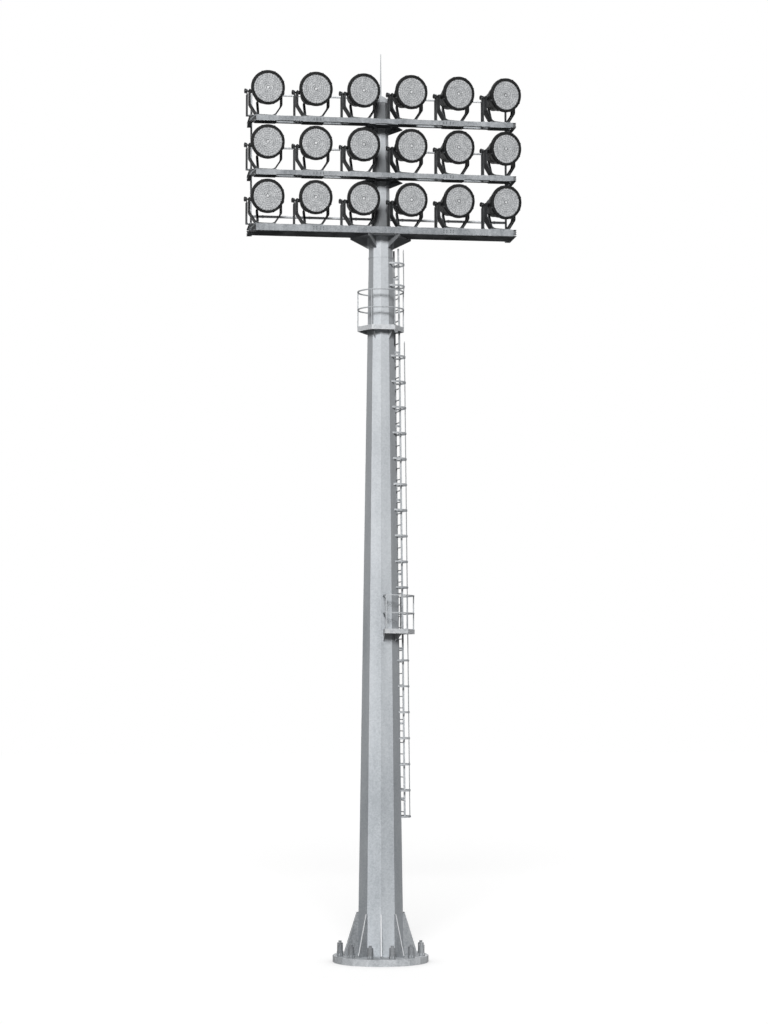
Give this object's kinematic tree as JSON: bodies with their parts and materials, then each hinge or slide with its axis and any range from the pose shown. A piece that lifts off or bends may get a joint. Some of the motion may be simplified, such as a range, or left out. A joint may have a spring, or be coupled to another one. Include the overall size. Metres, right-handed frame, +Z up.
{
  "type": "stadium floodlight pylon",
  "caption": "Tall tapering steel mast on a bolted flange, with a caged ladder, two platforms and three tiers of round floodlights that tilt in stirrups.",
  "frame": {"origin": "centre of the underside of the base flange, at ground level", "axes": "+Z up along the pole; the lamps look along -Y and the tiers run along X, with +X to the right of someone who stands in front and faces the lamps"},
  "size_m": [7.334, 2.47, 23.92],
  "materials": {
    "galvanised_steel": "satin",
    "pole_steel": "satin",
    "cap_steel": "satin",
    "dark_enamel": "satin",
    "lamp_casting": "satin",
    "lens_glass": "satin"
  },
  "bodies": {
    "structure": {"base_flange": "galvanised_steel", "base_gussets": "galvanised_steel", "anchor_caps": "cap_steel", "pole_shaft": "pole_steel", "ladder": "galvanised_steel", "safety_cage": "galvanised_steel", "upper_platform": "galvanised_steel", "upper_guard_rail": "galvanised_steel", "rest_platform": "galvanised_steel", "rest_guard_rail": "galvanised_steel", "head_collar": "pole_steel", "head_deck": "galvanised_steel", "head_mast": "pole_steel", "lightning_rod": "galvanised_steel", "rear_frame": "galvanised_steel", "low_tier_frame": "galvanised_steel", "low_tier_seats": "galvanised_steel", "low_tier_cradles": "dark_enamel", "middle_tier_frame": "galvanised_steel", "middle_tier_seats": "galvanised_steel", "middle_tier_cradles": "dark_enamel", "top_tier_frame": "galvanised_steel", "top_tier_seats": "galvanised_steel", "top_tier_cradles": "dark_enamel"},
    "low_lamp_1": {"low_lamp_1_housing": "lamp_casting", "low_lamp_1_lens": "lens_glass"},
    "low_lamp_2": {"low_lamp_2_housing": "lamp_casting", "low_lamp_2_lens": "lens_glass"},
    "low_lamp_3": {"low_lamp_3_housing": "lamp_casting", "low_lamp_3_lens": "lens_glass"},
    "low_lamp_4": {"low_lamp_4_housing": "lamp_casting", "low_lamp_4_lens": "lens_glass"},
    "low_lamp_5": {"low_lamp_5_housing": "lamp_casting", "low_lamp_5_lens": "lens_glass"},
    "low_lamp_6": {"low_lamp_6_housing": "lamp_casting", "low_lamp_6_lens": "lens_glass"},
    "middle_lamp_1": {"middle_lamp_1_housing": "lamp_casting", "middle_lamp_1_lens": "lens_glass"},
    "middle_lamp_2": {"middle_lamp_2_housing": "lamp_casting", "middle_lamp_2_lens": "lens_glass"},
    "middle_lamp_3": {"middle_lamp_3_housing": "lamp_casting", "middle_lamp_3_lens": "lens_glass"},
    "middle_lamp_4": {"middle_lamp_4_housing": "lamp_casting", "middle_lamp_4_lens": "lens_glass"},
    "middle_lamp_5": {"middle_lamp_5_housing": "lamp_casting", "middle_lamp_5_lens": "lens_glass"},
    "middle_lamp_6": {"middle_lamp_6_housing": "lamp_casting", "middle_lamp_6_lens": "lens_glass"},
    "top_lamp_1": {"top_lamp_1_housing": "lamp_casting", "top_lamp_1_lens": "lens_glass"},
    "top_lamp_2": {"top_lamp_2_housing": "lamp_casting", "top_lamp_2_lens": "lens_glass"},
    "top_lamp_3": {"top_lamp_3_housing": "lamp_casting", "top_lamp_3_lens": "lens_glass"},
    "top_lamp_4": {"top_lamp_4_housing": "lamp_casting", "top_lamp_4_lens": "lens_glass"},
    "top_lamp_5": {"top_lamp_5_housing": "lamp_casting", "top_lamp_5_lens": "lens_glass"},
    "top_lamp_6": {"top_lamp_6_housing": "lamp_casting", "top_lamp_6_lens": "lens_glass"}
  },
  "joints": [
    {"name": "low_lamp_1_tilt", "type": "hinge", "parent": "structure", "child": "low_lamp_1", "pos_m": [-3.1125, -0.43, 19.814], "axis": [0.9954, 0.0958, 0], "range_deg": [-8, 20]},
    {"name": "low_lamp_2_tilt", "type": "hinge", "parent": "structure", "child": "low_lamp_2", "pos_m": [-1.8675, -0.43, 19.814], "axis": [0.9905, 0.1374, 0], "range_deg": [-8, 20]},
    {"name": "low_lamp_3_tilt", "type": "hinge", "parent": "structure", "child": "low_lamp_3", "pos_m": [-0.6225, -0.43, 19.814], "axis": [0.9839, 0.1788, 0], "range_deg": [-8, 20]},
    {"name": "low_lamp_4_tilt", "type": "hinge", "parent": "structure", "child": "low_lamp_4", "pos_m": [0.6225, -0.43, 19.814], "axis": [0.9755, 0.2198, 0], "range_deg": [-8, 20]},
    {"name": "low_lamp_5_tilt", "type": "hinge", "parent": "structure", "child": "low_lamp_5", "pos_m": [1.8675, -0.43, 19.814], "axis": [0.9655, 0.2605, 0], "range_deg": [-8, 20]},
    {"name": "low_lamp_6_tilt", "type": "hinge", "parent": "structure", "child": "low_lamp_6", "pos_m": [3.1125, -0.43, 19.814], "axis": [0.9537, 0.3007, 0], "range_deg": [-8, 20]},
    {"name": "middle_lamp_1_tilt", "type": "hinge", "parent": "structure", "child": "middle_lamp_1", "pos_m": [-3.1125, -0.43, 21.249], "axis": [0.9954, 0.0958, 0], "range_deg": [-8, 20]},
    {"name": "middle_lamp_2_tilt", "type": "hinge", "parent": "structure", "child": "middle_lamp_2", "pos_m": [-1.8675, -0.43, 21.249], "axis": [0.9905, 0.1374, 0], "range_deg": [-8, 20]},
    {"name": "middle_lamp_3_tilt", "type": "hinge", "parent": "structure", "child": "middle_lamp_3", "pos_m": [-0.6225, -0.43, 21.249], "axis": [0.9839, 0.1788, 0], "range_deg": [-8, 20]},
    {"name": "middle_lamp_4_tilt", "type": "hinge", "parent": "structure", "child": "middle_lamp_4", "pos_m": [0.6225, -0.43, 21.249], "axis": [0.9755, 0.2198, 0], "range_deg": [-8, 20]},
    {"name": "middle_lamp_5_tilt", "type": "hinge", "parent": "structure", "child": "middle_lamp_5", "pos_m": [1.8675, -0.43, 21.249], "axis": [0.9655, 0.2605, 0], "range_deg": [-8, 20]},
    {"name": "middle_lamp_6_tilt", "type": "hinge", "parent": "structure", "child": "middle_lamp_6", "pos_m": [3.1125, -0.43, 21.249], "axis": [0.9537, 0.3007, 0], "range_deg": [-8, 20]},
    {"name": "top_lamp_1_tilt", "type": "hinge", "parent": "structure", "child": "top_lamp_1", "pos_m": [-3.1125, -0.43, 22.684], "axis": [0.9954, 0.0958, 0], "range_deg": [-8, 20]},
    {"name": "top_lamp_2_tilt", "type": "hinge", "parent": "structure", "child": "top_lamp_2", "pos_m": [-1.8675, -0.43, 22.684], "axis": [0.9905, 0.1374, 0], "range_deg": [-8, 20]},
    {"name": "top_lamp_3_tilt", "type": "hinge", "parent": "structure", "child": "top_lamp_3", "pos_m": [-0.6225, -0.43, 22.684], "axis": [0.9839, 0.1788, 0], "range_deg": [-8, 20]},
    {"name": "top_lamp_4_tilt", "type": "hinge", "parent": "structure", "child": "top_lamp_4", "pos_m": [0.6225, -0.43, 22.684], "axis": [0.9755, 0.2198, 0], "range_deg": [-8, 20]},
    {"name": "top_lamp_5_tilt", "type": "hinge", "parent": "structure", "child": "top_lamp_5", "pos_m": [1.8675, -0.43, 22.684], "axis": [0.9655, 0.2605, 0], "range_deg": [-8, 20]},
    {"name": "top_lamp_6_tilt", "type": "hinge", "parent": "structure", "child": "top_lamp_6", "pos_m": [3.1125, -0.43, 22.684], "axis": [0.9537, 0.3007, 0], "range_deg": [-8, 20]}
  ]
}
